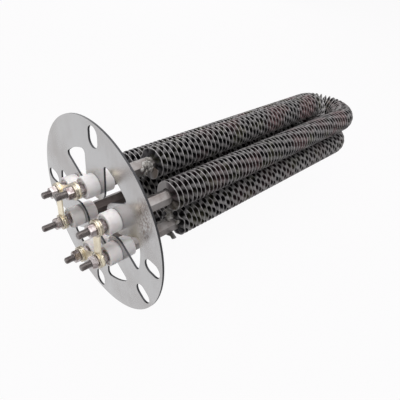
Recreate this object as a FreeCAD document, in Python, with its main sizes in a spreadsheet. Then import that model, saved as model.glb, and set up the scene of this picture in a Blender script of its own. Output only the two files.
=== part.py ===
"""Finned strip heater: a round flange with three finned U-shaped heating elements.

The model stands in millimetres. The origin is the centre of the flange's back face, +X runs
along the heater from the flange towards the far bends, +Z is up, and the terminals stand on
the -X side. Terminals are named as seen from that side, so upper_right lies at -Y.
"""
import FreeCAD, Part
import enum
import math
import os

import Sketcher

# Driving sizes: alias, value in mm, meaning
SIZES = [
    ("flange_diameter", 150.0, "round mounting flange"),
    ("flange_thickness", 1.5, "sheet of the flange"),
    ("terminal_circle_radius", 29.0, "circle on which the six terminals stand"),
    ("tongue_width", 23.0, "tongue that carries a terminal"),
    ("rim_width", 23.0, "flange's edge to the outer arc of the openings between the tongues"),
    ("lobe_corner_radius", 3.0, "rounded corner beside each tongue"),
    ("tongue_overlap", 2.5, "how far a tongue's blank runs into the rim"),
    ("slot_to_edge", 10.3, "middle of each mounting slot to the flange's edge"),
    ("slot_length", 15.6, "overall length of a mounting slot"),
    ("slot_width", 11.0, "width of a mounting slot"),
    ("spigot_diameter", 8.0, "neck of the front insulator in the flange"),
    ("spigot_clearance", 0.2, "gap round that neck"),
    ("insulator_diameter", 16.0, "ceramic insulator"),
    ("front_insulator_length", 9.8, "ceramic in front of the flange"),
    ("rear_insulator_length", 9.5, "ceramic behind the flange"),
    ("nut_recess_diameter", 12.8, "recess for the inner nut in the front insulator"),
    ("nut_recess_depth", 0.8, "same recess"),
    ("bore_clearance", 0.2, "gap between a stud and what it passes through"),
    ("stud_diameter", 5.0, "threaded terminal stud"),
    ("stud_tip_chamfer", 0.7, "bevel at the tip of a stud"),
    ("nut_width", 8.0, "hexagon nut across flats"),
    ("inner_nut_height", 4.0, "hexagon nut on the insulator"),
    ("outer_nut_height", 4.7, "hexagon nut over the links"),
    ("washer_diameter", 12.0, "flat washer"),
    ("washer_thickness", 1.0, "flat washer"),
    ("link_thickness", 1.0, "brass link between two terminals"),
    ("link_width", 8.0, "straight part of a link"),
    ("link_eye_diameter", 12.0, "round end of a link"),
    ("lead_width", 10.5, "hexagonal cold lead across flats"),
    ("sheath_diameter", 10.0, "heated sheath tube"),
    ("middle_leg_length", 259.0, "flange to the bend of the middle element"),
    ("side_leg_length", 288.0, "flange to the bend of the upper and lower elements"),
    ("middle_bend_straight", 26.0, "straight run between the two bends of the middle element"),
    ("side_bend_straight", 2.2, "straight run between the two bends of the other elements"),
    ("fin_diameter", 24.0, "outer edge of the fin strip"),
    ("fin_root_diameter", 14.0, "crimped root of the fin strip"),
    ("fin_bore_clearance", 0.25, "gap between the sheath and the strip's inner edge"),
    ("fin_ridge_pitch", 8.6, "one modelled ridge stands for two turns of strip"),
    ("stud_reach_top", 30.5, "back of the flange to the stud's tip"),
    ("stud_reach_upper_left", 29.0, "same, upper left"),
    ("stud_reach_lower_left", 32.5, "same, lower left"),
    ("stud_reach_bottom", 29.5, "same, bottom"),
    ("stud_reach_lower_right", 30.5, "same, lower right"),
    ("stud_reach_upper_right", 30.5, "same, upper right"),
    ("lead_reach_top", 46.0, "back of the flange to the end of the cold lead"),
    ("lead_reach_upper_left", 40.0, "same, upper left"),
    ("lead_reach_lower_left", 45.0, "same, lower left"),
    ("lead_reach_bottom", 50.0, "same, bottom"),
    ("lead_reach_lower_right", 52.0, "same, lower right"),
    ("lead_reach_upper_right", 41.0, "same, upper right"),
]

# Terminals in their order round the flange, and their angles about +X from +Y towards +Z
TERMINAL_ORDER = ("top", "upper_left", "lower_left", "bottom", "lower_right", "upper_right")
TOP_ANGLE = 90
ANGLE_BETWEEN_TERMINALS = 360 // len(TERMINAL_ORDER)
TERMINALS = {
    name: TOP_ANGLE - ANGLE_BETWEEN_TERMINALS * place
    for place, name in enumerate(TERMINAL_ORDER)
}

# Link name, its two terminals, and whether it is the outer layer
LINKS = [
    ("link_top_left", ("top", "upper_left"), False),
    ("link_left_side", ("upper_left", "lower_left"), True),
    ("link_bottom_right", ("bottom", "lower_right"), False),
    ("link_right_side", ("lower_right", "upper_right"), True),
]

# Element name, terminals of its two legs, turn about +X, height of its plane, leg and bend aliases
ELEMENTS = [
    ("middle", ("top", "bottom"), 90, "0", "Sizes.terminal_circle_radius", "middle"),
    ("upper", ("upper_left", "upper_right"), 0, "Sizes.terminal_circle_radius * sin(30)",
     "Sizes.terminal_circle_radius * cos(30)", "side"),
    ("lower", ("lower_left", "lower_right"), 0, "-Sizes.terminal_circle_radius * sin(30)",
     "Sizes.terminal_circle_radius * cos(30)", "side"),
]

FIN_SIDES = 8
FLATNESS = 1e-7
SAME_PLACE = 0.001
BORE_STEPS_IN_BEND = 7
SLOTS_IN_FOUR_BOLT_SET = 4
SLOTS_IN_THREE_BOLT_SET = 3

# First places of the sketches' points, before the sheet drives them
DRAFT = {alias: value for alias, value, _ in SIZES}

# Sizes that follow from the flange's edge
LOBE_RADIUS = "(Sizes.flange_diameter / 2 - Sizes.rim_width)"
SLOT_RADIUS = "(Sizes.flange_diameter / 2 - Sizes.slot_to_edge)"


class SketchPoint(enum.IntEnum):
    """Sketcher's numbers for the points of an edge."""

    START = 1
    END = 2
    CENTRE = 3


class SketchAxis(enum.IntEnum):
    """Sketcher's numbers for a sketch's own axes."""

    ACROSS = -1
    UP = -2


START, END, CENTRE = SketchPoint
ACROSS_SKETCH, UP_SKETCH = SketchAxis
ORIGIN = (ACROSS_SKETCH, START)

X_AXIS = FreeCAD.Vector(1, 0, 0)
Y_AXIS = FreeCAD.Vector(0, 1, 0)
Z_AXIS = FreeCAD.Vector(0, 0, 1)
ALONG_HEATER = FreeCAD.Rotation(Y_AXIS, 90)

# Faces of the terminal stack, counted along +X
INSULATOR_FACE = "(-Sizes.flange_thickness - Sizes.front_insulator_length)"
NUT_SEAT = f"({INSULATOR_FACE} + Sizes.nut_recess_depth)"
INNER_NUT_FACE = f"({NUT_SEAT} - Sizes.inner_nut_height)"
INNER_WASHER_FACE = f"({INNER_NUT_FACE} - Sizes.washer_thickness)"
INNER_LINK_FACE = f"({INNER_WASHER_FACE} - Sizes.link_thickness)"
OUTER_LINK_FACE = f"({INNER_LINK_FACE} - Sizes.link_thickness)"
OUTER_WASHER_FACE = f"({OUTER_LINK_FACE} - Sizes.washer_thickness)"
OUTER_NUT_FACE = f"({OUTER_WASHER_FACE} - Sizes.outer_nut_height)"
STUD_BORE_RADIUS = "Sizes.stud_diameter / 2 + Sizes.bore_clearance"


def make_sheet(doc):
    """Put every driving size in a spreadsheet with a named cell."""
    sheet = doc.addObject("Spreadsheet::Sheet", "Sizes")
    for row, (alias, value, meaning) in enumerate(SIZES, start=1):
        sheet.set(f"A{row}", meaning)
        sheet.set(f"B{row}", str(value))
        sheet.setAlias(f"B{row}", alias)
    doc.recompute()
    return sheet


def bind(feature, **expressions):
    """Tie properties of a feature to cells; a double underscore stands for a dot."""
    for name, expression in expressions.items():
        feature.setExpression(name.replace("__", "."), expression)
    return feature


def place_at_terminal(feature, terminal, start):
    """Lay a feature built along its own Z on a terminal's axis, from the plane x = start."""
    feature.Placement = FreeCAD.Placement(FreeCAD.Vector(), ALONG_HEATER)
    angle = TERMINALS[terminal]
    return bind(
        feature,
        Placement__Base__x=start,
        Placement__Base__y=f"Sizes.terminal_circle_radius * cos({angle})",
        Placement__Base__z=f"Sizes.terminal_circle_radius * sin({angle})",
    )


def cylinder(doc, name, radius, height, start="0"):
    """A cylinder on its own Z axis, from z = start."""
    feature = doc.addObject("Part::Cylinder", name)
    return bind(feature, Radius=radius, Height=height, Placement__Base__z=start)


def prism(doc, name, width, height):
    """A hexagonal bar on its own Z axis, sized across flats."""
    feature = doc.addObject("Part::Prism", name)
    feature.Polygon = 6
    return bind(feature, Circumradius=f"{width} / 2 / cos(30)", Height=height)


def drilled(doc, name, blank, height):
    """Drill a blank with a stud hole right through."""
    cut = doc.addObject("Part::Cut", name)
    cut.Base = blank
    cut.Tool = cylinder(doc, f"{name}_bore", STUD_BORE_RADIUS, height)
    return cut


def origin_feature(body, role):
    """One of a body's own origin planes or axes."""
    return next(part for part in body.Origin.OriginFeatures if part.Role == role)


def new_sketch(body, name, plane="YZ_Plane"):
    """A sketch on one of the body's origin planes."""
    sketch = body.newObject("Sketcher::SketchObject", name)
    sketch.AttachmentSupport = [(origin_feature(body, plane), "")]
    sketch.MapMode = "FlatFace"
    return sketch


def name_size(sketch, constraint, name, expression):
    """Add a dimension to a sketch and tie it to the sheet."""
    index = sketch.addConstraint(constraint)
    sketch.renameConstraint(index, name)
    sketch.setExpression(f"Constraints.{name}", expression)


def centred_circle(sketch, name, radius, draft):
    """A circle on the sketch's origin."""
    circle = sketch.addGeometry(Part.Circle(FreeCAD.Vector(), Z_AXIS, draft), False)
    sketch.addConstraint(Sketcher.Constraint("Coincident", circle, CENTRE, *ORIGIN))
    name_size(sketch, Sketcher.Constraint("Radius", circle, draft), name, radius)


def circle_on_axis(sketch, name, axis, radius, distance, side=1):
    """A circle whose centre lies on one of the sketch's axes, on its plus or minus side."""
    across = axis == ACROSS_SKETCH
    along = FreeCAD.Vector(side, 0, 0) if across else FreeCAD.Vector(0, side, 0)
    draft_distance = DRAFT["terminal_circle_radius"]
    draft_radius = DRAFT["stud_diameter"]
    circle = sketch.addGeometry(Part.Circle(along * draft_distance, Z_AXIS, draft_radius), False)
    sketch.addConstraint(Sketcher.Constraint("PointOnObject", circle, CENTRE, axis))
    kind = "DistanceX" if across else "DistanceY"
    ends = (*ORIGIN, circle, CENTRE) if side > 0 else (circle, CENTRE, *ORIGIN)
    name_size(sketch, Sketcher.Constraint(kind, *ends, draft_distance), f"{name}_centre", distance)
    name_size(sketch, Sketcher.Constraint("Radius", circle, draft_radius), f"{name}_radius", radius)


def tongue_outline(sketch):
    """Parallel-sided tongue with a round end about the top terminal."""
    centre = DRAFT["terminal_circle_radius"]
    half = DRAFT["tongue_width"] / 2
    rim = DRAFT["flange_diameter"] / 2 - DRAFT["rim_width"] + DRAFT["tongue_overlap"]
    vec = FreeCAD.Vector
    circle = Part.Circle(vec(0, centre, 0), Z_AXIS, half)
    end = sketch.addGeometry(Part.ArcOfCircle(circle, math.pi, 2 * math.pi), False)
    right = sketch.addGeometry(Part.LineSegment(vec(half, centre, 0), vec(half, rim, 0)), False)
    top = sketch.addGeometry(Part.LineSegment(vec(half, rim, 0), vec(-half, rim, 0)), False)
    left = sketch.addGeometry(Part.LineSegment(vec(-half, rim, 0), vec(-half, centre, 0)), False)
    sketch.addConstraint(Sketcher.Constraint("Tangent", end, END, right, START))
    sketch.addConstraint(Sketcher.Constraint("Coincident", right, END, top, START))
    sketch.addConstraint(Sketcher.Constraint("Coincident", top, END, left, START))
    sketch.addConstraint(Sketcher.Constraint("Tangent", left, END, end, START))
    sketch.addConstraint(Sketcher.Constraint("Vertical", right))
    sketch.addConstraint(Sketcher.Constraint("Vertical", left))
    sketch.addConstraint(Sketcher.Constraint("Horizontal", top))
    sketch.addConstraint(Sketcher.Constraint("PointOnObject", end, CENTRE, UP_SKETCH))
    name_size(sketch, Sketcher.Constraint("Radius", end, half), "half_width", "Sizes.tongue_width / 2")
    name_size(sketch, Sketcher.Constraint("DistanceY", *ORIGIN, end, CENTRE, centre), "centre",
              "Sizes.terminal_circle_radius")
    name_size(sketch, Sketcher.Constraint("DistanceY", *ORIGIN, right, END, rim), "rim",
              f"{LOBE_RADIUS} + Sizes.tongue_overlap")


def slot_outline(sketch):
    """Radial slot with round ends, on the sketch's Y axis."""
    half = DRAFT["slot_width"] / 2
    straight = DRAFT["slot_length"] / 2 - half
    middle = DRAFT["flange_diameter"] / 2 - DRAFT["slot_to_edge"]
    near = middle - straight
    far = middle + straight
    vec = FreeCAD.Vector
    lower = sketch.addGeometry(
        Part.ArcOfCircle(Part.Circle(vec(0, near, 0), Z_AXIS, half), math.pi, 2 * math.pi), False)
    right = sketch.addGeometry(Part.LineSegment(vec(half, near, 0), vec(half, far, 0)), False)
    upper = sketch.addGeometry(
        Part.ArcOfCircle(Part.Circle(vec(0, far, 0), Z_AXIS, half), 0, math.pi), False)
    left = sketch.addGeometry(Part.LineSegment(vec(-half, far, 0), vec(-half, near, 0)), False)
    sides = (lower, right, upper, left)
    for side, following in zip(sides, sides[1:] + sides[:1]):
        sketch.addConstraint(Sketcher.Constraint("Tangent", side, END, following, START))
    sketch.addConstraint(Sketcher.Constraint("Vertical", right))
    sketch.addConstraint(Sketcher.Constraint("PointOnObject", lower, CENTRE, UP_SKETCH))
    name_size(sketch, Sketcher.Constraint("Radius", lower, half), "half_width", "Sizes.slot_width / 2")
    reach = "(Sizes.slot_length - Sizes.slot_width) / 2"
    name_size(sketch, Sketcher.Constraint("DistanceY", *ORIGIN, lower, CENTRE, near), "near",
              f"{SLOT_RADIUS} - {reach}")
    name_size(sketch, Sketcher.Constraint("DistanceY", *ORIGIN, upper, CENTRE, far), "far",
              f"{SLOT_RADIUS} + {reach}")


def pad_forward(body, name, sketch):
    """Raise a sketch from the back face to the front of the flange."""
    pad = body.newObject("PartDesign::Pad", name)
    pad.Profile = sketch
    pad.Reversed = True
    return bind(pad, Length="Sizes.flange_thickness")


def pocket_through(body, name, sketch):
    """Cut a sketch right through."""
    pocket = body.newObject("PartDesign::Pocket", name)
    pocket.Profile = sketch
    pocket.Type = "ThroughAll"
    return pocket


def polar_pattern(body, name, original, count):
    """Repeat a feature evenly about the heater's axis."""
    pattern = body.newObject("PartDesign::PolarPattern", name)
    pattern.Originals = [original]
    pattern.Axis = (origin_feature(body, "X_Axis"), [""])
    pattern.Angle = 360
    pattern.Occurrences = count
    body.Tip = pattern
    return pattern


def make_flange(doc, sheet):
    """Flat round flange with six tongues, stud holes and two sets of radial slots."""
    body = doc.addObject("PartDesign::Body", "flange_plate")
    disc = new_sketch(body, "disc_outline")
    centred_circle(disc, "rim", "Sizes.flange_diameter / 2", DRAFT["flange_diameter"] / 2)
    pad_forward(body, "disc", disc)
    opening = new_sketch(body, "opening_outline")
    lobe_radius = sheet.flange_diameter / 2 - sheet.rim_width
    centred_circle(opening, "lobes", LOBE_RADIUS, lobe_radius)
    pocket_through(body, "opening", opening)
    doc.recompute()
    tongue_sketch = new_sketch(body, "tongue_sketch")
    tongue_outline(tongue_sketch)
    tongue = pad_forward(body, "tongue", tongue_sketch)
    doc.recompute()
    tongues = polar_pattern(body, "tongues", tongue, len(TERMINALS))
    doc.recompute()
    corners = body.newObject("PartDesign::Fillet", "lobe_corners")
    corners.Base = (tongues, corner_edges(tongues.Shape, lobe_radius))
    bind(corners, Radius="Sizes.lobe_corner_radius")
    body.Tip = corners
    doc.recompute()
    hole_sketch = new_sketch(body, "stud_hole_sketch")
    circle_on_axis(hole_sketch, "stud_hole", UP_SKETCH,
                   "Sizes.spigot_diameter / 2 + Sizes.spigot_clearance",
                   "Sizes.terminal_circle_radius")
    hole = pocket_through(body, "stud_hole", hole_sketch)
    doc.recompute()
    polar_pattern(body, "stud_holes", hole, len(TERMINALS))
    doc.recompute()
    slot_sketch = new_sketch(body, "slot_sketch")
    slot_outline(slot_sketch)
    slot = pocket_through(body, "slot", slot_sketch)
    doc.recompute()
    polar_pattern(body, "four_bolt_slots", slot, SLOTS_IN_FOUR_BOLT_SET)
    doc.recompute()
    polar_pattern(body, "three_bolt_slots", slot, SLOTS_IN_THREE_BOLT_SET)
    doc.recompute()
    return body


def corner_edges(shape, radius):
    """Names of the short edges where the tongues' sides meet the openings' outer arc."""
    names = []
    for index, edge in enumerate(shape.Edges, start=1):
        start = edge.Vertexes[0].Point
        span = edge.Vertexes[-1].Point - start
        along_heater = abs(span.x) > 0 and math.hypot(span.y, span.z) < SAME_PLACE
        if along_heater and abs(math.hypot(start.y, start.z) - radius) < SAME_PLACE:
            names.append(f"Edge{index}")
    return names


def make_front_insulator(doc, terminal):
    """Ceramic bush in front of the flange, with a neck through it and a recess for its nut."""
    name = f"front_insulator_{terminal}"
    length = "Sizes.front_insulator_length"
    total = f"{length} + Sizes.flange_thickness"
    blank = doc.addObject("Part::Fuse", f"{name}_blank")
    blank.Base = cylinder(doc, f"{name}_head", "Sizes.insulator_diameter / 2", length)
    blank.Tool = cylinder(doc, f"{name}_neck", "Sizes.spigot_diameter / 2", total)
    recessed = doc.addObject("Part::Cut", f"{name}_recessed")
    recessed.Base = blank
    recessed.Tool = cylinder(doc, f"{name}_recess", "Sizes.nut_recess_diameter / 2",
                             "Sizes.nut_recess_depth")
    insulator = drilled(doc, name, recessed, total)
    return place_at_terminal(insulator, terminal, INSULATOR_FACE)


def make_rear_insulator(doc, terminal):
    """Ceramic bush behind the flange."""
    name = f"rear_insulator_{terminal}"
    length = "Sizes.rear_insulator_length"
    blank = cylinder(doc, f"{name}_blank", "Sizes.insulator_diameter / 2", length)
    insulator = drilled(doc, name, blank, length)
    return place_at_terminal(insulator, terminal, "0")


def make_stud(doc, terminal):
    """Terminal stud from its bevelled tip to the face of the cold lead."""
    name = f"terminal_stud_{terminal}"
    reach = f"Sizes.stud_reach_{terminal}"
    shank = cylinder(doc, f"{name}_shank", "Sizes.stud_diameter / 2",
                     f"{reach} + Sizes.rear_insulator_length - Sizes.stud_tip_chamfer",
                     "Sizes.stud_tip_chamfer")
    tip = doc.addObject("Part::Cone", f"{name}_tip")
    bind(tip, Radius1="Sizes.stud_diameter / 2 - Sizes.stud_tip_chamfer",
         Radius2="Sizes.stud_diameter / 2", Height="Sizes.stud_tip_chamfer")
    stud = doc.addObject("Part::Fuse", name)
    stud.Base = shank
    stud.Tool = tip
    stud.Refine = True
    return place_at_terminal(stud, terminal, f"-{reach}")


def make_nut(doc, name, terminal, face, height):
    """Hexagon nut on a terminal stud."""
    blank = prism(doc, f"{name}_blank", "Sizes.nut_width", height)
    return place_at_terminal(drilled(doc, name, blank, height), terminal, face)


def make_washer(doc, name, terminal, face, thickness):
    """Flat washer on a terminal stud."""
    blank = cylinder(doc, f"{name}_blank", "Sizes.washer_diameter / 2", thickness)
    return place_at_terminal(drilled(doc, name, blank, thickness), terminal, face)


def make_group(doc, name, members):
    """Identical fasteners kept together as separate solids."""
    group = doc.addObject("Part::Compound", name)
    group.Links = members
    return group


def make_fasteners(doc):
    """Nuts and washers on both sides of the links, and spacers where a terminal holds one link."""
    groups = []
    for side, face, height in (("inner", INNER_NUT_FACE, "Sizes.inner_nut_height"),
                               ("outer", OUTER_NUT_FACE, "Sizes.outer_nut_height")):
        nuts = [make_nut(doc, f"{side}_nut_{t}", t, face, height) for t in TERMINALS]
        groups.append(make_group(doc, f"{side}_nuts", nuts))
    for side, face in (("inner", INNER_WASHER_FACE), ("outer", OUTER_WASHER_FACE)):
        washers = [
            make_washer(doc, f"{side}_washer_{t}", t, face, "Sizes.washer_thickness")
            for t in TERMINALS
        ]
        groups.append(make_group(doc, f"{side}_washers", washers))
    spacers = []
    for _, ends, is_outer in LINKS:
        for terminal in ends:
            links_here = sum(terminal in other_ends for _, other_ends, _ in LINKS)
            if links_here == 1:
                face = INNER_LINK_FACE if is_outer else OUTER_LINK_FACE
                spacers.append(
                    make_washer(doc, f"spacer_{terminal}", terminal, face, "Sizes.link_thickness"))
    groups.append(make_group(doc, "spacer_washers", spacers))
    return groups


def make_link(doc, name, ends, is_outer):
    """Flat brass bar with an eye at each end, joining two neighbouring terminals."""
    middle_angle = sum(TERMINALS[terminal] for terminal in ends) / len(ends)
    body = doc.addObject("PartDesign::Body", name)
    bar_sketch = new_sketch(body, f"{name}_bar_sketch", "XY_Plane")
    half_span = "Sizes.terminal_circle_radius / 2"
    add_rectangle(bar_sketch, half_span, "Sizes.link_width / 2")
    add_pad(body, f"{name}_bar", bar_sketch)
    eye_sketch = new_sketch(body, f"{name}_eye_sketch", "XY_Plane")
    hole_sketch = new_sketch(body, f"{name}_hole_sketch", "XY_Plane")
    for side, end in ((1, "near"), (-1, "far")):
        circle_on_axis(eye_sketch, end, ACROSS_SKETCH, "Sizes.link_eye_diameter / 2", half_span, side)
        circle_on_axis(hole_sketch, end, ACROSS_SKETCH, STUD_BORE_RADIUS, half_span, side)
    add_pad(body, f"{name}_eyes", eye_sketch)
    holes = pocket_through(body, f"{name}_holes", hole_sketch)
    holes.Reversed = True
    link_axes = FreeCAD.Rotation(Z_AXIS, -Y_AXIS, X_AXIS, "ZXY")
    body.Placement = FreeCAD.Placement(
        FreeCAD.Vector(), FreeCAD.Rotation(X_AXIS, middle_angle).multiply(link_axes))
    distance = f"Sizes.terminal_circle_radius * cos({ANGLE_BETWEEN_TERMINALS / 2})"
    bind(body,
         Placement__Base__x=OUTER_LINK_FACE if is_outer else INNER_LINK_FACE,
         Placement__Base__y=f"{distance} * cos({middle_angle})",
         Placement__Base__z=f"{distance} * sin({middle_angle})")
    doc.recompute()
    return body


def add_rectangle(sketch, half_length, half_width):
    """Rectangle centred on the sketch's origin."""
    length = DRAFT["terminal_circle_radius"] / 2
    width = DRAFT["link_width"] / 2
    corners = [
        FreeCAD.Vector(length * along, width * across, 0)
        for along, across in ((-1, -1), (1, -1), (1, 1), (-1, 1))
    ]
    sides = [
        sketch.addGeometry(Part.LineSegment(start, finish), False)
        for start, finish in zip(corners, corners[1:] + corners[:1])
    ]
    for side, following in zip(sides, sides[1:] + sides[:1]):
        sketch.addConstraint(Sketcher.Constraint("Coincident", side, END, following, START))
    for side, direction in zip(sides, ("Horizontal", "Vertical") * 2):
        sketch.addConstraint(Sketcher.Constraint(direction, side))
    bottom, right, top, _ = sides
    sketch.addConstraint(Sketcher.Constraint("Symmetric", bottom, START, top, START, *ORIGIN))
    name_size(sketch, Sketcher.Constraint("DistanceX", *ORIGIN, right, START, length), "half_length",
              half_length)
    name_size(sketch, Sketcher.Constraint("DistanceY", *ORIGIN, top, START, width), "half_width",
              half_width)


def add_pad(body, name, sketch):
    """Raise a link's sketch by the thickness of its sheet."""
    pad = body.newObject("PartDesign::Pad", name)
    pad.Profile = sketch
    return bind(pad, Length="Sizes.link_thickness")


def make_lead(doc, terminal):
    """Hexagonal cold lead between the rear insulator and the heated sheath."""
    length = f"Sizes.lead_reach_{terminal} - Sizes.rear_insulator_length"
    lead = prism(doc, f"cold_lead_{terminal}", "Sizes.lead_width", length)
    return place_at_terminal(lead, terminal, "Sizes.rear_insulator_length")


def element_route(doc, name, starts, half_span, family):
    """Sketch of an element's centre line: two legs, two bends and the run between them."""
    half = DRAFT["terminal_circle_radius"]
    leg = DRAFT["middle_leg_length"]
    bend = half / 2
    begin = DRAFT["lead_reach_top"]
    vec = FreeCAD.Vector
    route = doc.addObject("Sketcher::SketchObject", f"{name}_route")
    corner = half - bend
    near = route.addGeometry(Part.LineSegment(vec(begin, half, 0), vec(leg, half, 0)), False)
    first = route.addGeometry(
        Part.ArcOfCircle(Part.Circle(vec(leg, corner, 0), Z_AXIS, bend), 0, math.pi / 2), False)
    across = route.addGeometry(
        Part.LineSegment(vec(leg + bend, corner, 0), vec(leg + bend, -corner, 0)), False)
    second = route.addGeometry(
        Part.ArcOfCircle(Part.Circle(vec(leg, -corner, 0), Z_AXIS, bend), -math.pi / 2, 0), False)
    back = route.addGeometry(Part.LineSegment(vec(leg, -half, 0), vec(begin, -half, 0)), False)
    route.addConstraint(Sketcher.Constraint("Tangent", near, END, first, END))
    route.addConstraint(Sketcher.Constraint("Tangent", first, START, across, START))
    route.addConstraint(Sketcher.Constraint("Tangent", across, END, second, END))
    route.addConstraint(Sketcher.Constraint("Tangent", second, START, back, START))
    route.addConstraint(Sketcher.Constraint("Horizontal", near))
    route.addConstraint(Sketcher.Constraint("Vertical", across))
    route.addConstraint(Sketcher.Constraint("Horizontal", back))
    name_size(route, Sketcher.Constraint("DistanceX", *ORIGIN, near, START, begin),
              "start_of_first_leg", f"Sizes.lead_reach_{starts[0]}")
    name_size(route, Sketcher.Constraint("DistanceX", *ORIGIN, back, END, begin),
              "start_of_second_leg", f"Sizes.lead_reach_{starts[1]}")
    name_size(route, Sketcher.Constraint("DistanceX", *ORIGIN, first, CENTRE, leg), "leg",
              f"Sizes.{family}_leg_length")
    name_size(route, Sketcher.Constraint("DistanceY", *ORIGIN, near, START, half), "first_side",
              half_span)
    name_size(route, Sketcher.Constraint("DistanceY", back, END, *ORIGIN, half), "second_side",
              half_span)
    radius = f"{half_span} - Sizes.{family}_bend_straight / 2"
    name_size(route, Sketcher.Constraint("Radius", first, bend), "first_bend", radius)
    name_size(route, Sketcher.Constraint("Radius", second, bend), "second_bend", radius)
    return route


def make_sheath(doc, name, route, start, half_span):
    """Round sheath tube swept along an element's route."""
    section = doc.addObject("Part::Circle", f"{name}_section")
    section.Placement = FreeCAD.Placement(FreeCAD.Vector(), ALONG_HEATER)
    bind(section, Radius="Sizes.sheath_diameter / 2", Placement__Base__x=start,
         Placement__Base__y=half_span)
    sheath = doc.addObject("Part::Sweep", name)
    sheath.Sections = [section]
    sheath.Spine = (route, [f"Edge{number}" for number in range(1, 6)])
    sheath.Solid = True
    sheath.Frenet = False
    return sheath


def route_runs(start, finish, leg, half_span, bend):
    """Lengths of an element's first leg, bend, cross run, second bend and second leg."""
    quarter = math.pi / 2 * bend
    return [leg - start, quarter, 2 * (half_span - bend), quarter, leg - finish]


def route_station(distance, start, finish, leg, half_span, bend):
    """Point of an element's centre line, and the direction that points out of the U there."""
    vec = FreeCAD.Vector
    corner = half_span - bend
    runs = route_runs(start, finish, leg, half_span, bend)
    run = 0
    while run < len(runs) - 1 and distance > runs[run]:
        distance -= runs[run]
        run += 1
    turn = distance / bend
    if run == 0:
        return vec(start + distance, half_span, 0), vec(0, 1, 0)
    if run == 1:
        outwards = vec(math.sin(turn), math.cos(turn), 0)
        return vec(leg, corner, 0) + outwards * bend, outwards
    if run == 2:
        return vec(leg + bend, corner - distance, 0), vec(1, 0, 0)
    if run == 3:
        outwards = vec(math.cos(turn), -math.sin(turn), 0)
        return vec(leg, -corner, 0) + outwards * bend, outwards
    return vec(leg - distance, -half_span, 0), vec(0, -1, 0)


def ring(centre, outwards, radius):
    """Corners of a many-sided ring about the centre line."""
    corners = []
    for side in range(FIN_SIDES):
        angle = 2 * math.pi * side / FIN_SIDES
        spoke = outwards * math.cos(angle) + Z_AXIS * math.sin(angle)
        corners.append(centre + spoke * radius)
    return corners


def flat_face(*outlines):
    """Flat face from closed lists of corners, the first one its rim."""
    return Part.Face([Part.makePolygon([*corners, corners[0]]) for corners in outlines])


def band(first_ring, second_ring):
    """Flat faces between two rings, in pairs of triangles where four corners aren't in one plane."""
    faces = []
    for side, (start, edge_end) in enumerate(zip(first_ring, first_ring[1:] + first_ring[:1])):
        far_start = second_ring[side]
        far_end = second_ring[(side + 1) % FIN_SIDES]
        normal = (edge_end - start).cross(far_end - start).normalize()
        if abs(normal.dot(far_start - start)) < FLATNESS:
            faces.append(flat_face([start, edge_end, far_end, far_start]))
        else:
            faces.append(flat_face([start, edge_end, far_end]))
            faces.append(flat_face([start, far_end, far_start]))
    return faces


def make_fin_strip(doc, sheet, name, starts, half_span, family):
    """Crimped strip wound on the sheath: ridges at the fin's edge, valleys at its root."""
    start = getattr(sheet, f"lead_reach_{starts[0]}")
    finish = getattr(sheet, f"lead_reach_{starts[1]}")
    leg = getattr(sheet, f"{family}_leg_length")
    bend = half_span - getattr(sheet, f"{family}_bend_straight") / 2
    route = (start, finish, leg, half_span, bend)
    runs = route_runs(*route)
    total = sum(runs)
    steps = 2 * round(total / sheet.fin_ridge_pitch)
    radii = (sheet.fin_root_diameter / 2, sheet.fin_diameter / 2)
    outside = [
        ring(*route_station(total * step / steps, *route), radii[step % 2])
        for step in range(steps + 1)
    ]
    bore_radius = sheet.sheath_diameter / 2 + sheet.fin_bore_clearance
    bore_corner = bore_radius / math.cos(math.pi / FIN_SIDES)
    first_bend, second_bend = runs[0], sum(runs[:3])
    bore_distances = [0.0, total]
    for bend_start in (first_bend, second_bend):
        bore_distances += [
            bend_start + runs[1] * step / BORE_STEPS_IN_BEND
            for step in range(BORE_STEPS_IN_BEND + 1)
        ]
    inside = [
        list(reversed(ring(*route_station(distance, *route), bore_corner)))
        for distance in sorted(bore_distances)
    ]
    faces = [flat_face(list(reversed(outside[0])), list(reversed(inside[0]))),
             flat_face(outside[-1], inside[-1])]
    for rings in (outside, inside):
        for first_ring, second_ring in zip(rings, rings[1:]):
            faces += band(first_ring, second_ring)
    shell = Part.makeShell(faces)
    shell.sewShape()
    strip = doc.addObject("Part::Feature", name)
    strip.Shape = Part.makeSolid(shell)
    return strip


def make_element(doc, sheet, name, terminals, turn, height, half_span, family):
    """Sheath tube and fin strip of one U-shaped element."""
    route = element_route(doc, name, terminals, half_span, family)
    doc.recompute()
    sheath = make_sheath(doc, f"sheath_tube_{name}", route, f"Sizes.lead_reach_{terminals[0]}",
                         half_span)
    span = route.getDatum("first_side").Value
    strip = make_fin_strip(doc, sheet, f"fin_strip_{name}", terminals, span, family)
    for piece in (sheath, strip):
        piece.Placement = FreeCAD.Placement(FreeCAD.Vector(), FreeCAD.Rotation(X_AXIS, turn))
        bind(piece, Placement__Base__z=height)
    return [sheath, strip]


def check(doc, pieces):
    """Stop if any feature failed or any piece isn't a sound solid."""
    for feature in doc.Objects:
        if {"Invalid", "Error"} & set(feature.State):
            raise RuntimeError(f"{feature.Name} failed: {feature.State}")
    for piece in pieces:
        if piece.Shape.isNull() or not piece.Shape.isValid() or not piece.Shape.Solids:
            raise RuntimeError(f"{piece.Label} isn't a sound solid")


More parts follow.
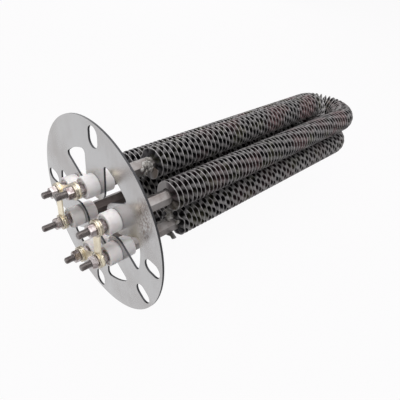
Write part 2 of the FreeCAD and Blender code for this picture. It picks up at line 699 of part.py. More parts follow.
def main():
    """Build the heater, check it and write each piece to its own file."""
    doc = FreeCAD.newDocument("finned_strip_heater")
    sheet = make_sheet(doc)
    pieces = [make_flange(doc, sheet)]
    for make_piece in (make_front_insulator, make_rear_insulator, make_stud, make_lead):
        pieces += [make_piece(doc, terminal) for terminal in TERMINALS]
    pieces += make_fasteners(doc)
    pieces += [make_link(doc, *link) for link in LINKS]
    for element in ELEMENTS:
        pieces += make_element(doc, sheet, *element)
    doc.recompute()
    check(doc, pieces)
    os.makedirs("parts", exist_ok=True)
    for piece in pieces:
        piece.Shape.exportStep(f"parts/{piece.Label}.step")
        box = piece.Shape.BoundBox
        print(f"{piece.Label}: {len(piece.Shape.Solids)} solids, {piece.Shape.Volume:.0f} mm3, "
              f"x {box.XMin:.1f} to {box.XMax:.1f}")


main()
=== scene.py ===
"""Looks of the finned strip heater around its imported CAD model.

Every length is in metres unless its name says millimetres, in the frame of the CAD model: the
origin is the centre of the flange's face towards the elements, +X runs to the far bends. Shares,
roughnesses and ranges of a pattern have no unit, and angles are in radians unless a class says
degrees.
"""

import logging
import math
from dataclasses import dataclass
from enum import Enum
from typing import Sequence

import bpy
import numpy as np
from mathutils import Matrix, Vector


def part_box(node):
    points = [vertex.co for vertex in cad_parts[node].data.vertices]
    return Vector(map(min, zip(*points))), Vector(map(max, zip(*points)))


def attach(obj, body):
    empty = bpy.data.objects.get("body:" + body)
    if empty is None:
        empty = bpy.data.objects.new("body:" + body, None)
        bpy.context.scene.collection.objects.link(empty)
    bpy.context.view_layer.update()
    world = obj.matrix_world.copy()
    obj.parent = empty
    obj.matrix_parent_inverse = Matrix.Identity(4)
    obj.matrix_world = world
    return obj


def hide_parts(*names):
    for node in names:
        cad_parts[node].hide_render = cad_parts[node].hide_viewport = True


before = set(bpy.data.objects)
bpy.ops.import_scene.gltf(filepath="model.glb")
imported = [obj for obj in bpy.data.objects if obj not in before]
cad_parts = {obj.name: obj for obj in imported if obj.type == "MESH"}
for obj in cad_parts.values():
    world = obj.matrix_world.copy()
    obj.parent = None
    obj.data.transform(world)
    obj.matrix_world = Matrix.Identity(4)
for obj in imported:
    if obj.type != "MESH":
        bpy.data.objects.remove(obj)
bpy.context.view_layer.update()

LOG = logging.getLogger("heater")
MM = 0.001
ROOT = "root"
TERMINALS = ("top", "upper_left", "lower_left", "bottom", "lower_right", "upper_right")

Colour = tuple[float, float, float]
Place = tuple[float, float, float]
Axis = tuple[float, float]
Range = tuple[float, float]
Profile = list[tuple[float, float]]
Socket = bpy.types.NodeSocket
Material = bpy.types.Material


class Grain(Enum):
    """How a pattern is squeezed along x, y and z; a small number draws it out that way."""

    EVEN = (1.0, 1.0, 1.0)
    ALONG_HEATER = (0.06, 1.0, 1.0)
    UPRIGHT = (1.0, 1.0, 0.05)
    SKEWED = (1.3, 0.9, 1.1)


class Mark(Enum):
    """What a wound strip says of each of its points, under the name of a mesh attribute.

    Depth runs from 0 at the root to 1 at the outer edge, crest from 0 in the hollows of the crimp
    to 1 on its tops and carries the crimp's painted shade, and scorch is 1 where an end is burnt.
    """

    DEPTH = "depth"
    CREST = "crest"
    SCORCH = "scorch"


@dataclass(frozen=True)
class Pattern:
    """Fractal noise: repeats to the metre, octaves, weight of the finer octaves, and its grain."""

    scale: float
    octaves: float = 3.0
    weight: float = 0.55
    grain: Grain = Grain.EVEN


class NodeSheet:
    """Shorthand for building the nodes of one material."""

    def __init__(self, name: str) -> None:
        """Start a material with its Principled shader.

        Args:
            name: name of the material.
        """
        self.material = bpy.data.materials.new(name)
        self.material.use_nodes = True
        self.tree = self.material.node_tree
        self.shader = self.tree.nodes["Principled BSDF"]

    def add(self, kind: str, **inputs: object) -> bpy.types.Node:
        """Add a node and set its inputs.

        Args:
            kind: node type without its "ShaderNode" prefix.
            inputs: socket names, with underscores for spaces, and a value or an output to link.

        Returns:
            The new node.
        """
        node = self.tree.nodes.new(f"ShaderNode{kind}")
        for name, value in inputs.items():
            self.feed(node, name.replace("_", " "), value)
        return node

    def feed(self, node: bpy.types.Node, socket: str | int, value: object) -> None:
        """Set a socket to a value, or link an output to it.

        Args:
            node: node that owns the socket.
            socket: its name or place.
            value: number, tuple or output socket.
        """
        target = node.inputs[socket]
        if isinstance(value, Socket):
            self.tree.links.new(value, target)
        else:
            target.default_value = value

    def maths(self, operation: str, first: object, second: object = 0.0) -> Socket:
        """One step of arithmetic.

        Args:
            operation: Blender's name for it.
            first: first operand.
            second: second operand.

        Returns:
            The result's socket.
        """
        node = self.tree.nodes.new("ShaderNodeMath")
        node.operation = operation
        self.feed(node, 0, first)
        self.feed(node, 1, second)
        return node.outputs[0]

    def coordinates(self, grain: Grain = Grain.EVEN) -> Socket:
        """Object coordinates, squeezed for a grain.

        Args:
            grain: how they are squeezed.

        Returns:
            The vector's socket.
        """
        place = self.tree.nodes.new("ShaderNodeTexCoord")
        mapping = self.add("Mapping", Vector=place.outputs["Object"])
        mapping.inputs["Scale"].default_value = grain.value
        return mapping.outputs["Vector"]

    def noise(self, pattern: Pattern) -> Socket:
        """Fractal noise of a pattern, from 0 to 1."""
        node = self.add("TexNoise", Vector=self.coordinates(pattern.grain), Scale=pattern.scale,
                        Detail=pattern.octaves, Roughness=pattern.weight)
        return node.outputs["Fac"]

    def mark(self, mark: Mark) -> Socket:
        """Value of a mark of the mesh.

        Args:
            mark: which one.

        Returns:
            The value's socket.
        """
        node = self.tree.nodes.new("ShaderNodeAttribute")
        node.attribute_name = mark.value
        return node.outputs["Fac"]

    def spread(self, value: Socket, reach: Range, result: Range = (0.0, 1.0)) -> Socket:
        """Map a range of a value to another, clamped.

        Args:
            value: socket to map.
            reach: values that give the two ends of the result.
            result: what they give.

        Returns:
            The mapped socket.
        """
        node = self.tree.nodes.new("ShaderNodeMapRange")
        for place, number in enumerate((*reach, *result), start=1):
            node.inputs[place].default_value = number
        self.feed(node, 0, value)
        return node.outputs[0]

    def blend(self, factor: object, first: object, second: object) -> Socket:
        """Mix two colours.

        Args:
            factor: share of the second colour.
            first: colour or socket.
            second: colour or socket.

        Returns:
            The mixed colour's socket.
        """
        node = self.tree.nodes.new("ShaderNodeMix")
        node.data_type = "RGBA"
        self.feed(node, 0, factor)
        for place, colour in ((6, first), (7, second)):
            value = (*colour, 1.0) if isinstance(colour, tuple) else colour
            self.feed(node, place, value)
        return node.outputs[2]

    def between(self, factor: object, first: object, second: object) -> Socket:
        """Mix two numbers.

        Args:
            factor: share of the second number.
            first: number or socket.
            second: number or socket.

        Returns:
            The mixed number's socket.
        """
        node = self.tree.nodes.new("ShaderNodeMix")
        for place, value in ((0, factor), (2, first), (3, second)):
            self.feed(node, place, value)
        return node.outputs[0]

    def surface(self, colour: Socket, roughness: Socket, relief: Socket, depth: float) -> Material:
        """Give the shader its colour, roughness and relief.

        Args:
            colour: colour at each place.
            roughness: roughness at each place.
            relief: height at each place, from 0 to 1.
            depth: what a height of 1 comes to.

        Returns:
            The finished material.
        """
        self.feed(self.shader, "Base Color", colour)
        self.feed(self.shader, "Roughness", roughness)
        bump = self.add("Bump", Height=relief, Distance=depth, Strength=1.0)
        self.feed(self.shader, "Normal", bump.outputs["Normal"])
        return self.material


@dataclass(frozen=True)
class SteelFinish:
    """Metal with a grain, uneven gloss, and stains of another colour."""

    name: str
    colour: Colour
    stain: Colour
    stain_share: float = 0.5
    stains: Pattern = Pattern(90.0, 4.0)
    stain_reach: Range = (0.42, 0.68)
    grain: Pattern = Pattern(900.0, 4.0, 0.7)
    grain_depth: float = 0.03 * MM
    shade_reach: Range = (0.3, 0.7)
    shade: Range = (0.82, 1.0)
    groove_share: float = 0.78
    metallic: float = 1.0
    roughness: float = 0.35
    roughness_give: float = 0.12
    roughness_reach: Range = (0.25, 0.75)

    def material(self) -> Material:
        """Build the finish.

        Returns:
            The material.
        """
        sheet = NodeSheet(self.name)
        sheet.shader.inputs["Metallic"].default_value = self.metallic
        grain = sheet.noise(self.grain)
        share = sheet.spread(sheet.noise(self.stains), self.stain_reach, (0.0, self.stain_share))
        stained = sheet.blend(share, self.colour, self.stain)
        groove = tuple(channel * self.groove_share for channel in self.colour)
        colour = sheet.blend(sheet.spread(grain, self.shade_reach, self.shade), groove, stained)
        gloss = (self.roughness - self.roughness_give, self.roughness + self.roughness_give)
        return sheet.surface(colour, sheet.spread(grain, self.roughness_reach, gloss),
                             grain, self.grain_depth)


@dataclass(frozen=True)
class SheetSteelFinish:
    """Brushed flange sheet with smears, a stained patch and dark cut edges."""

    name: str = "flange_sheet"
    colour: Colour = (0.5, 0.498, 0.502)
    smear: Colour = (0.42, 0.405, 0.4)
    scratch: Colour = (0.3, 0.3, 0.31)
    stain: Colour = (0.2, 0.165, 0.15)
    edge: Colour = (0.05, 0.05, 0.053)
    clouds: Pattern = Pattern(28.0)
    smear_reach: Range = (0.4, 0.72)
    polish_reach: Range = (0.35, 0.7)
    polish: Range = (0.19, 0.32)
    brushing: Pattern = Pattern(1500.0, 4.0, 0.7, Grain.UPRIGHT)
    scratch_reach: Range = (0.35, 0.75)
    scratch_share: float = 0.16
    scratch_depth: float = 0.006 * MM
    face_reach: Range = (0.3, 0.6)
    edge_roughness: float = 0.5
    stain_centre: Axis = (-55.0 * MM, 34.0 * MM)
    stain_size: tuple[float, float] = (8.5 * MM, 17.0 * MM)
    stain_outline: Pattern = Pattern(120.0, 5.0, 0.65)
    stain_raggedness: float = 2.2
    stain_reach: Range = (1.2, 2.3)
    stain_share: Range = (0.95, 0.0)
    specks: Pattern = Pattern(520.0)
    speck_reach: Range = (0.4, 0.6)
    speck_share: Range = (0.15, 1.0)

    def material(self) -> Material:
        """Build the finish.

        Returns:
            The material.
        """
        sheet = NodeSheet(self.name)
        sheet.shader.inputs["Metallic"].default_value = 1.0
        clouds, brushed = sheet.noise(self.clouds), sheet.noise(self.brushing)
        smeared = sheet.blend(sheet.spread(clouds, self.smear_reach), self.colour, self.smear)
        scratches = sheet.spread(brushed, self.scratch_reach, (0.0, self.scratch_share))
        scratched = sheet.blend(scratches, smeared, self.scratch)
        stained = sheet.blend(self.stained_patch(sheet), scratched, self.stain)
        geometry = sheet.tree.nodes.new("ShaderNodeNewGeometry")
        normal = sheet.add("SeparateXYZ", Vector=geometry.outputs["Normal"])
        on_face = sheet.spread(sheet.maths("ABSOLUTE", normal.outputs["X"]), self.face_reach)
        polished = sheet.spread(clouds, self.polish_reach, self.polish)
        return sheet.surface(sheet.blend(on_face, self.edge, stained),
                             sheet.between(on_face, self.edge_roughness, polished),
                             brushed, self.scratch_depth)

    def stained_patch(self, sheet: NodeSheet) -> Socket:
        """How much of the stain shows at each place of the sheet.

        Args:
            sheet: nodes to add to.

        Returns:
            The share's socket.
        """
        place = sheet.add("SeparateXYZ", Vector=sheet.coordinates())
        squares = []
        for side, centre, size in zip("YZ", self.stain_centre, self.stain_size):
            offset = sheet.maths("DIVIDE", sheet.maths("SUBTRACT", place.outputs[side], centre), size)
            squares.append(sheet.maths("MULTIPLY", offset, offset))
        ragged = sheet.maths("MULTIPLY", sheet.noise(self.stain_outline), self.stain_raggedness)
        distance = sheet.maths("ADD", sheet.maths("ADD", *squares), ragged)
        speckled = sheet.spread(sheet.noise(self.specks), self.speck_reach, self.speck_share)
        return sheet.maths("MULTIPLY", sheet.spread(distance, self.stain_reach, self.stain_share), speckled)


@dataclass(frozen=True)
class CeramicFinish:
    """White steatite with a thin glaze and a few grey marks."""

    name: str = "white_ceramic"
    colour: Colour = (0.86, 0.828, 0.825)
    mark: Colour = (0.56, 0.525, 0.515)
    marks: Pattern = Pattern(160.0, 4.0)
    mark_reach: Range = (0.52, 0.8)
    mark_share: float = 0.5
    grit: Pattern = Pattern(2600.0)
    grit_reach: Range = (0.3, 0.7)
    grit_depth: float = 0.02 * MM
    roughness: Range = (0.28, 0.44)
    light_inside: float = 0.12
    light_depth: float = 2.0 * MM

    def material(self) -> Material:
        """Build the finish.

        Returns:
            The material.
        """
        sheet = NodeSheet(self.name)
        sheet.shader.inputs["Subsurface Weight"].default_value = self.light_inside
        sheet.shader.inputs["Subsurface Scale"].default_value = self.light_depth
        marked = sheet.spread(sheet.noise(self.marks), self.mark_reach, (0.0, self.mark_share))
        grit = sheet.noise(self.grit)
        return sheet.surface(sheet.blend(marked, self.colour, self.mark),
                             sheet.spread(grit, self.grit_reach, self.roughness),
                             grit, self.grit_depth)


@dataclass(frozen=True)
class FinFinish:
    """Heat-tinted crimped strip, with painted shade in the hollows of its crimp and towards its root,
    lighter towards the far bends, and a lighter outer edge: bare metal with a painted highlight.
    """

    name: str = "fin_strip"
    # Painted shade in the crimp's hollows, lighter towards the far bends.
    hollow_shade: Colour = (0.014, 0.013, 0.015)
    far_hollow_shade: Colour = (0.07, 0.066, 0.068)
    flank: Colour = (0.25, 0.24, 0.243)
    # Bare outer edge, with a painted highlight.
    edge: Colour = (0.47, 0.455, 0.455)
    purple: Colour = (0.25, 0.14, 0.145)
    green: Colour = (0.17, 0.17, 0.1)
    brown: Colour = (0.15, 0.12, 0.1)
    far_reach: Range = (180.0 * MM, 320.0 * MM)
    crest_reach: Range = (0.35, 0.9)
    root_reach: Range = (0.1, 0.7)
    root_share: Range = (0.2, 1.0)
    outer_reach: Range = (0.8, 1.0)
    bare_and_highlight_reach: Range = (0.93, 1.0)
    bare_and_highlight_share: float = 0.9
    heated_reach: Range = (60.0 * MM, 130.0 * MM)
    heated_share: Range = (0.15, 1.0)
    purple_clouds: Pattern = Pattern(34.0, 2.0)
    purple_reach: Range = (0.48, 0.66)
    purple_share: float = 0.7
    green_clouds: Pattern = Pattern(47.0, 2.0, grain=Grain.SKEWED)
    green_reach: Range = (0.55, 0.7)
    green_share: float = 0.5
    grain: Pattern = Pattern(1400.0)
    grain_reach: Range = (0.3, 0.7)
    grain_depth: float = 0.03 * MM
    roughness: Range = (0.35, 0.57)
    metallic: float = 0.1
    specular: float = 0.3

    def material(self) -> Material:
        """Build the finish, for a mesh that carries the marks.

        Returns:
            The material.
        """
        sheet = NodeSheet(self.name)
        sheet.shader.inputs["Metallic"].default_value = self.metallic
        sheet.shader.inputs["Specular IOR Level"].default_value = self.specular
        depth = sheet.mark(Mark.DEPTH)
        along = sheet.add("SeparateXYZ", Vector=sheet.coordinates()).outputs["X"]
        # Painted shade: hollows and the root are dark, crests and the outer edge keep the flank colour.
        painted_crest_light = sheet.spread(sheet.mark(Mark.CREST), self.crest_reach)
        painted_crest_light = sheet.maths("MULTIPLY", painted_crest_light, sheet.spread(depth, self.root_reach, self.root_share))
        painted_crest_light = sheet.maths("MAXIMUM", painted_crest_light, sheet.spread(depth, self.outer_reach))
        hollow_shade = sheet.blend(sheet.spread(along, self.far_reach), self.hollow_shade, self.far_hollow_shade)
        colour = sheet.blend(painted_crest_light, hollow_shade, self.flank)
        purple = sheet.spread(sheet.noise(self.purple_clouds), self.purple_reach, (0.0, self.purple_share))
        purple = sheet.maths("MULTIPLY", sheet.spread(along, self.heated_reach, self.heated_share), purple)
        green = sheet.spread(sheet.noise(self.green_clouds), self.green_reach, (0.0, self.green_share))
        # Bare outer edge and flat turns, with a painted highlight.
        bare_and_highlight = sheet.spread(depth, self.bare_and_highlight_reach, (0.0, self.bare_and_highlight_share))
        for share, tint in ((purple, self.purple), (green, self.green),
                            (sheet.mark(Mark.SCORCH), self.brown), (bare_and_highlight, self.edge)):
            colour = sheet.blend(share, colour, tint)
        grain = sheet.noise(self.grain)
        return sheet.surface(colour, sheet.spread(grain, self.grain_reach, self.roughness),
                             grain, self.grain_depth)


FLANGE_SHEET = SheetSteelFinish()
CERAMIC = CeramicFinish()
FIN_STRIP = FinFinish()
# Lit copy of the fin strip for the lower element: its lighter flank is painted light from the floor below,
# with less purple tint.
FLOOR_LIT_STRIP = FinFinish("floor_lit_fin_strip", flank=(0.46, 0.448, 0.45), purple_share=0.25)
STUD_STEEL = SteelFinish("stud_steel", (0.17, 0.155, 0.15), (0.08, 0.06, 0.062),
                         stain_share=0.7, stains=Pattern(200.0, 4.0), roughness=0.3)
NUT_STEEL = SteelFinish("nut_steel", (0.47, 0.43, 0.425), (0.1, 0.06, 0.06),
                        stain_share=0.85, stains=Pattern(300.0, 4.0), roughness=0.26)
WASHER_BRASS = SteelFinish("washer_brass", (0.56, 0.51, 0.42), (0.17, 0.13, 0.09),
                           stain_share=0.8, stains=Pattern(330.0, 4.0), roughness=0.27)
LINK_BRASS = SteelFinish("link_brass", (0.86, 0.79, 0.62), (0.5, 0.38, 0.26),
                         stain_share=0.4, stains=Pattern(130.0, 4.0), roughness=0.34)
DRAWN_BAR = Pattern(1200.0, 4.0, 0.7, Grain.ALONG_HEATER)
LEAD_STEEL = SteelFinish("lead_steel", (0.212, 0.2, 0.196), (0.11, 0.092, 0.085),
                         stain_share=0.8, stains=Pattern(110.0, 4.0), grain=DRAWN_BAR, roughness=0.45)
# Darker copy of the lead finish for the leads behind the flange: heat tint, and painted shade where the
# flange shadows them.
HEATED_AND_SHADED_LEAD = SteelFinish("heated_and_shaded_lead", (0.1, 0.085, 0.08), (0.05, 0.04, 0.038),
                          stain_share=0.8, stains=Pattern(110.0, 4.0), grain=DRAWN_BAR, roughness=0.45)
WELD = SteelFinish("weld_bead", (0.34, 0.33, 0.318), (0.13, 0.112, 0.09),
                   stain_share=0.85, stains=Pattern(420.0, 4.0), roughness=0.6, metallic=0.5)
SHEATH_STEEL = SteelFinish("sheath_steel", (0.1, 0.095, 0.09), (0.06, 0.05, 0.045), roughness=0.55)


@dataclass
class Shape:
    """Points and faces of a mesh; each array in faces holds faces with one number of corners."""

    points: np.ndarray
    faces: list[np.ndarray]

    def mesh(self, name: str, smooth_below: float = 0.6) -> bpy.types.Mesh:
        """Make the mesh.

        Args:
            name: name of the mesh.
            smooth_below: edges that turn less than this angle look smooth.

        Returns:
            The mesh.
        """
        mesh = bpy.data.meshes.new(name)
        mesh.vertices.add(len(self.points))
        mesh.vertices.foreach_set("co", self.points.astype(np.float32).ravel())
        corners = np.concatenate([faces.ravel() for faces in self.faces])
        counts = np.concatenate([np.full(len(faces), faces.shape[1]) for faces in self.faces])
        starts = np.concatenate([[0], np.cumsum(counts)[:-1]])
        mesh.loops.add(len(corners))
        mesh.loops.foreach_set("vertex_index", corners.astype(np.int32))
        mesh.polygons.add(len(counts))
        mesh.polygons.foreach_set("loop_start", starts.astype(np.int32))
        mesh.update(calc_edges=True)
        mesh.polygons.foreach_set("use_smooth", np.ones(len(counts), dtype=bool))
        mesh.set_sharp_from_angle(angle=smooth_below)
        return mesh


def add_piece(mesh: bpy.types.Mesh, finish: Material, slot: str, *nodes: str) -> None:
    """Put a mesh in the scene as a piece that stands for CAD nodes.

    Args:
        mesh: the piece's mesh, in the row frame.
        finish: its material.
        slot: the record's material slot; not used.
        nodes: CAD nodes that it replaces.
    """
    piece = bpy.data.objects.new(mesh.name, mesh)
    bpy.context.scene.collection.objects.link(piece)
    mesh.materials.append(finish)
    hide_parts(*nodes)
    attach(piece, ROOT)
    LOG.info("%s: %d faces", mesh.name, len(mesh.polygons))


def dress(node: str, finish: Material) -> None:
    """Give a CAD node that stays a finish of its own.

    Args:
        node: name of the node.
        finish: its material.
    """
    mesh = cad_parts[node].data
    mesh.materials.clear()
    mesh.materials.append(finish)
    LOG.info("%s dressed", node)


def grid_faces(rows: int, columns: int, closed_rows: bool, closed_columns: bool) -> np.ndarray:
    """Faces of a grid of points numbered row by row.

    Args:
        rows: number of rows.
        columns: number of points in a row.
        closed_rows: whether the last row joins the first.
        closed_columns: whether each row's last point joins its first.

    Returns:
        m by 4 point numbers.
    """
    row = np.arange(rows if closed_rows else rows - 1)
    column = np.arange(columns if closed_columns else columns - 1)
    row, column = np.meshgrid(row, column, indexing="ij")
    next_row = (row + 1) % rows
    next_column = (column + 1) % columns
    corners = (row * columns + column, row * columns + next_column,
               next_row * columns + next_column, next_row * columns + column)
    return np.stack(corners, axis=-1).reshape(-1, 4)


def joined(shapes: Sequence[Shape]) -> Shape:
    """Join several shapes into one.

    Args:
        shapes: the shapes.

    Returns:
        Their points together, and all faces with their numbers moved on.
    """
    faces, offset = [], 0
    for shape in shapes:
        faces += [some_faces + offset for some_faces in shape.faces]
        offset += len(shape.points)
    return Shape(np.concatenate([shape.points for shape in shapes]), faces)


def axis_of(node: str) -> Axis:
    """y and z of the axis of a CAD node, a round piece that lies along the heater."""
    low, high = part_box(node)
    return (low[1] + high[1]) / 2, (low[2] + high[2]) / 2


def reach_along(node: str) -> Range:
    """Lowest and highest x of a CAD node."""
    low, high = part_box(node)
    return low[0], high[0]


def about_axis(along: np.ndarray, radius: np.ndarray, angle: np.ndarray, axis: Axis) -> np.ndarray:
    """Points at places along x, and at radii and angles about an axis along x; n by 3."""
    across, up = axis[0] + radius * np.cos(angle), axis[1] + radius * np.sin(angle)
    return np.stack(np.broadcast_arrays(along, across, up), axis=-1).reshape(-1, 3)


def ring_profile(low: float, high: float, bore: float, radius: float) -> Profile:
    """Profile of a plain ring between two places and two radii."""
    return [(low, bore), (low, radius), (high, radius), (high, bore)]


def turned(profile: Profile, axis: Axis, sides: int = 64) -> Shape:
    """Turn a closed profile about an axis along the heater.

    Args:
        profile: places along x and radii.
        axis: y and z of the axis.
        sides: steps round the circle.

    Returns:
        The turned shape.
    """
    along, radius = np.array(profile).T[:, :, None]
    angle = np.linspace(0, 2 * math.pi, sides, endpoint=False)
    return Shape(about_axis(along, radius, angle, axis), [grid_faces(len(profile), sides, True, True)])


def rounded(profile: Profile, radius: float, steps: int = 4, longest: float = 1 / 2.2) -> Profile:
    """Round every corner of a closed profile.

    Args:
        profile: corners in order.
        radius: distance from a corner at which its rounding starts.
        steps: points along each rounding.
        longest: the most that one rounding may take of a side, as a share.

    Returns:
        The rounded profile.
    """
    result = []
    count = len(profile)
    for place in range(count):
        before, corner, after = (Vector((*profile[(place + step) % count], 0)) for step in (-1, 0, 1))
        reach = min(radius, (before - corner).length * longest, (after - corner).length * longest)
        start = corner + (before - corner).normalized() * reach
        finish = corner + (after - corner).normalized() * reach
        for step in range(steps + 1):
            share = step / steps
            bent = start.lerp(corner, share).lerp(corner.lerp(finish, share), share)
            result.append((bent.x, bent.y))
    return result


@dataclass
class Flange:
    """Round flange sheet: the CAD shape with its own finish."""

    node: str = "flange_plate"

    def dress(self) -> None:
        """Give the sheet its finish."""
        dress(self.node, FLANGE_SHEET.material())


@dataclass
class CeramicBushes:
    """Front and rear bushes of every terminal."""

    outer_radius: float = 8.0 * MM
    neck_radius: float = 4.0 * MM
    bore_radius: float = 2.7 * MM
    neck_length: float = 1.5 * MM
    edge_rounding: float = 1.1 * MM
    recess_radius: float = 6.4 * MM
    recess_depth: float = 0.8 * MM

    def build(self) -> None:
        """Turn all the bushes."""
        glaze = CERAMIC.material()
        for terminal in TERMINALS:
            for kind, outline in (("front", self.front_profile), ("rear", self.rear_profile)):
                node = f"{kind}_insulator_{terminal}"
                profile = rounded(outline(*reach_along(node)), self.edge_rounding)
                bush = turned(profile, axis_of(node))
                add_piece(bush.mesh(f"{kind}_bush_{terminal}"), glaze, "ceramic", node)

    def front_profile(self, low: float, high: float) -> Profile:
        """Profile of a front bush, with sharp corners.

        Args:
            low: x of its front face.
            high: x of its neck's end.

        Returns:
            The profile.
        """
        shoulder = high - self.neck_length
        seat = low + self.recess_depth
        return [
            (low, self.recess_radius), (low, self.outer_radius), (shoulder, self.outer_radius),
            (shoulder, self.neck_radius), (high, self.neck_radius), (high, self.bore_radius),
            (seat, self.bore_radius), (seat, self.recess_radius),
        ]

    def rear_profile(self, low: float, high: float) -> Profile:
        """Profile of a rear bush from the flange to the lead, with sharp corners."""
        return ring_profile(low, high, self.bore_radius, self.outer_radius)


@dataclass
class TerminalStuds:
    """Threaded studs; the thread's crest and root are flats cut from a triangle wave."""

    outer_radius: float = 2.5 * MM
    thread_depth: float = 0.38 * MM
    pitch: float = 0.8 * MM
    rows_per_pitch: int = 6
    flank_steepness: float = 1.6
    root_flat: float = 0.3
    tip_bevel: float = 0.7 * MM
    sides: int = 24
    smooth_below: float = 0.9

    def build(self) -> None:
        """Thread every stud."""
        steel = STUD_STEEL.material()
        for terminal in TERMINALS:
            node = f"terminal_stud_{terminal}"
            stud = self.threaded_bar(*reach_along(node), axis_of(node))
            add_piece(stud.mesh(f"threaded_stud_{terminal}", self.smooth_below), steel, "stud_steel", node)

    def threaded_bar(self, low: float, high: float, axis: Axis) -> Shape:
        """Bar with a helical thread, a bevelled tip and closed ends.

        Args:
            low: x of the tip.
            high: x of the other end.
            axis: y and z of the axis.

        Returns:
            The bar.
        """
        rows = int((high - low) / self.pitch * self.rows_per_pitch)
        along = np.linspace(low, high, rows)
        angle = np.linspace(0, 2 * math.pi, self.sides, endpoint=False)
        helix = along[:, None] / self.pitch - angle[None, :] / (2 * math.pi)
        flank = np.abs(2 * (helix % 1.0) - 1.0)
        height = np.clip(self.flank_steepness * flank - self.root_flat, 0, 1)
        radius = self.outer_radius - self.thread_depth * (1 - height)
        bevel = self.outer_radius - self.tip_bevel + (along - low)
        points = about_axis(along[:, None], np.minimum(radius, bevel[:, None]), angle, axis)
        tip = np.arange(self.sides)
        caps = np.stack([tip[::-1], (rows - 1) * self.sides + tip])
        return Shape(points, [grid_faces(rows, self.sides, False, True)[:, ::-1], caps])


@dataclass
class Fasteners:
    """Hexagon nuts and flat washers, one piece for each group of the CAD model."""

    nut_width: float = 8.0 * MM
    bore_radius: float = 2.55 * MM
    lead_in: float = 0.35 * MM
    lead_in_depth: float = 0.3 * MM
    bevel_circle: float = 3.85 * MM
    corner_slope: float = math.tan(math.radians(30))
    nut_sides: int = 72
    nut_smooth_below: float = 0.35
    inner_turn: float = 0.31
    outer_turn: float = 1.07
    turn_step: float = 0.83
    washer_radius: float = 6.0 * MM
    washer_rounding: float = 0.25 * MM
    rounding_steps: int = 3
    washer_sides: int = 40

    def build(self) -> None:
        """Build the nuts and the washers."""
        nut_steel = NUT_STEEL.material()
        for node, turn in (("inner_nuts", self.inner_turn), ("outer_nuts", self.outer_turn)):
            nuts = joined([
                self.nut(*reach_along(node), axis_of(f"terminal_stud_{terminal}"),
                         turn + self.turn_step * step)
                for step, terminal in enumerate(TERMINALS)
            ])
            add_piece(nuts.mesh(f"hexagon_{node}", self.nut_smooth_below), nut_steel, "nut_steel", node)
        brass = WASHER_BRASS.material()
        for node in ("inner_washers", "outer_washers"):
            self.washers(node, [(*reach_along(node), terminal) for terminal in TERMINALS], brass)
        low, high = reach_along("spacer_washers")
        middle = (low + high) / 2
        spacers = [(low, middle, "top"), (low, middle, "bottom"),
                   (middle, high, "lower_left"), (middle, high, "upper_right")]
        self.washers("spacer_washers", spacers, brass)

    def washers(self, node: str, places: list[tuple[float, float, str]], brass: Material) -> None:
        """Turn a group of flat washers.

        Args:
            node: CAD group that they stand for.
            places: lowest and highest x, and terminal, of each.
            brass: their finish.
        """
        parts = []
        for low, high, terminal in places:
            profile = ring_profile(low, high, self.bore_radius, self.washer_radius)
            profile = rounded(profile, self.washer_rounding, self.rounding_steps)
            parts.append(turned(profile, axis_of(f"terminal_stud_{terminal}"), self.washer_sides))
        add_piece(joined(parts).mesh(f"round_{node}"), brass, "brass", node)

    def nut(self, low: float, high: float, axis: Axis, turn: float) -> Shape:
        """One hexagon nut with bevelled corners.

        Args:
            low: x of its outer face.
            high: x of its inner face.
            axis: y and z of its axis.
            turn: angle it was tightened to.

        Returns:
            The nut.
        """
        angle = np.linspace(0, 2 * math.pi, self.nut_sides, endpoint=False)
        sixth = math.pi / 3
        hexagon = self.nut_width / 2 / np.cos((angle + sixth / 2) % sixth - sixth / 2)
        drop = np.clip(hexagon - self.bevel_circle, 0, None) * self.corner_slope
        circle = np.minimum(hexagon, self.bevel_circle)
        bore = np.full(self.nut_sides, self.bore_radius)
        mouth = bore + self.lead_in
        rings = [
            (low + self.lead_in_depth, bore), (low, mouth), (low, circle), (low + drop, hexagon),
            (high - drop, hexagon), (high, circle), (high, mouth), (high - self.lead_in_depth, bore),
        ]
        points = np.concatenate([about_axis(along, radius, angle + turn, axis) for along, radius in rings])
        return Shape(points, [grid_faces(len(rings), self.nut_sides, True, True)])


@dataclass
class LinksAndLeads:
    """Links and cold leads: CAD shapes with their own finishes."""

    links: tuple[str, ...] = ("link_top_left", "link_left_side", "link_bottom_right", "link_right_side")
    # These leads take the darker copy: heat tint and painted shade from the flange's shadow.
    heated_and_shaded: tuple[str, ...] = ("lower_left", "bottom")

    def dress(self) -> None:
        """Give links and leads their finishes."""
        brass = LINK_BRASS.material()
        for node in self.links:
            dress(node, brass)
        bright, tinted = LEAD_STEEL.material(), HEATED_AND_SHADED_LEAD.material()
        for terminal in TERMINALS:
            dress(f"cold_lead_{terminal}", tinted if terminal in self.heated_and_shaded else bright)


@dataclass(frozen=True)
class Lump:
    """Blob of weld beside a terminal's axis; its angle is in degrees about +X from +Y."""

    terminal: str
    along: float
    angle: float
    reach: float
    size: float


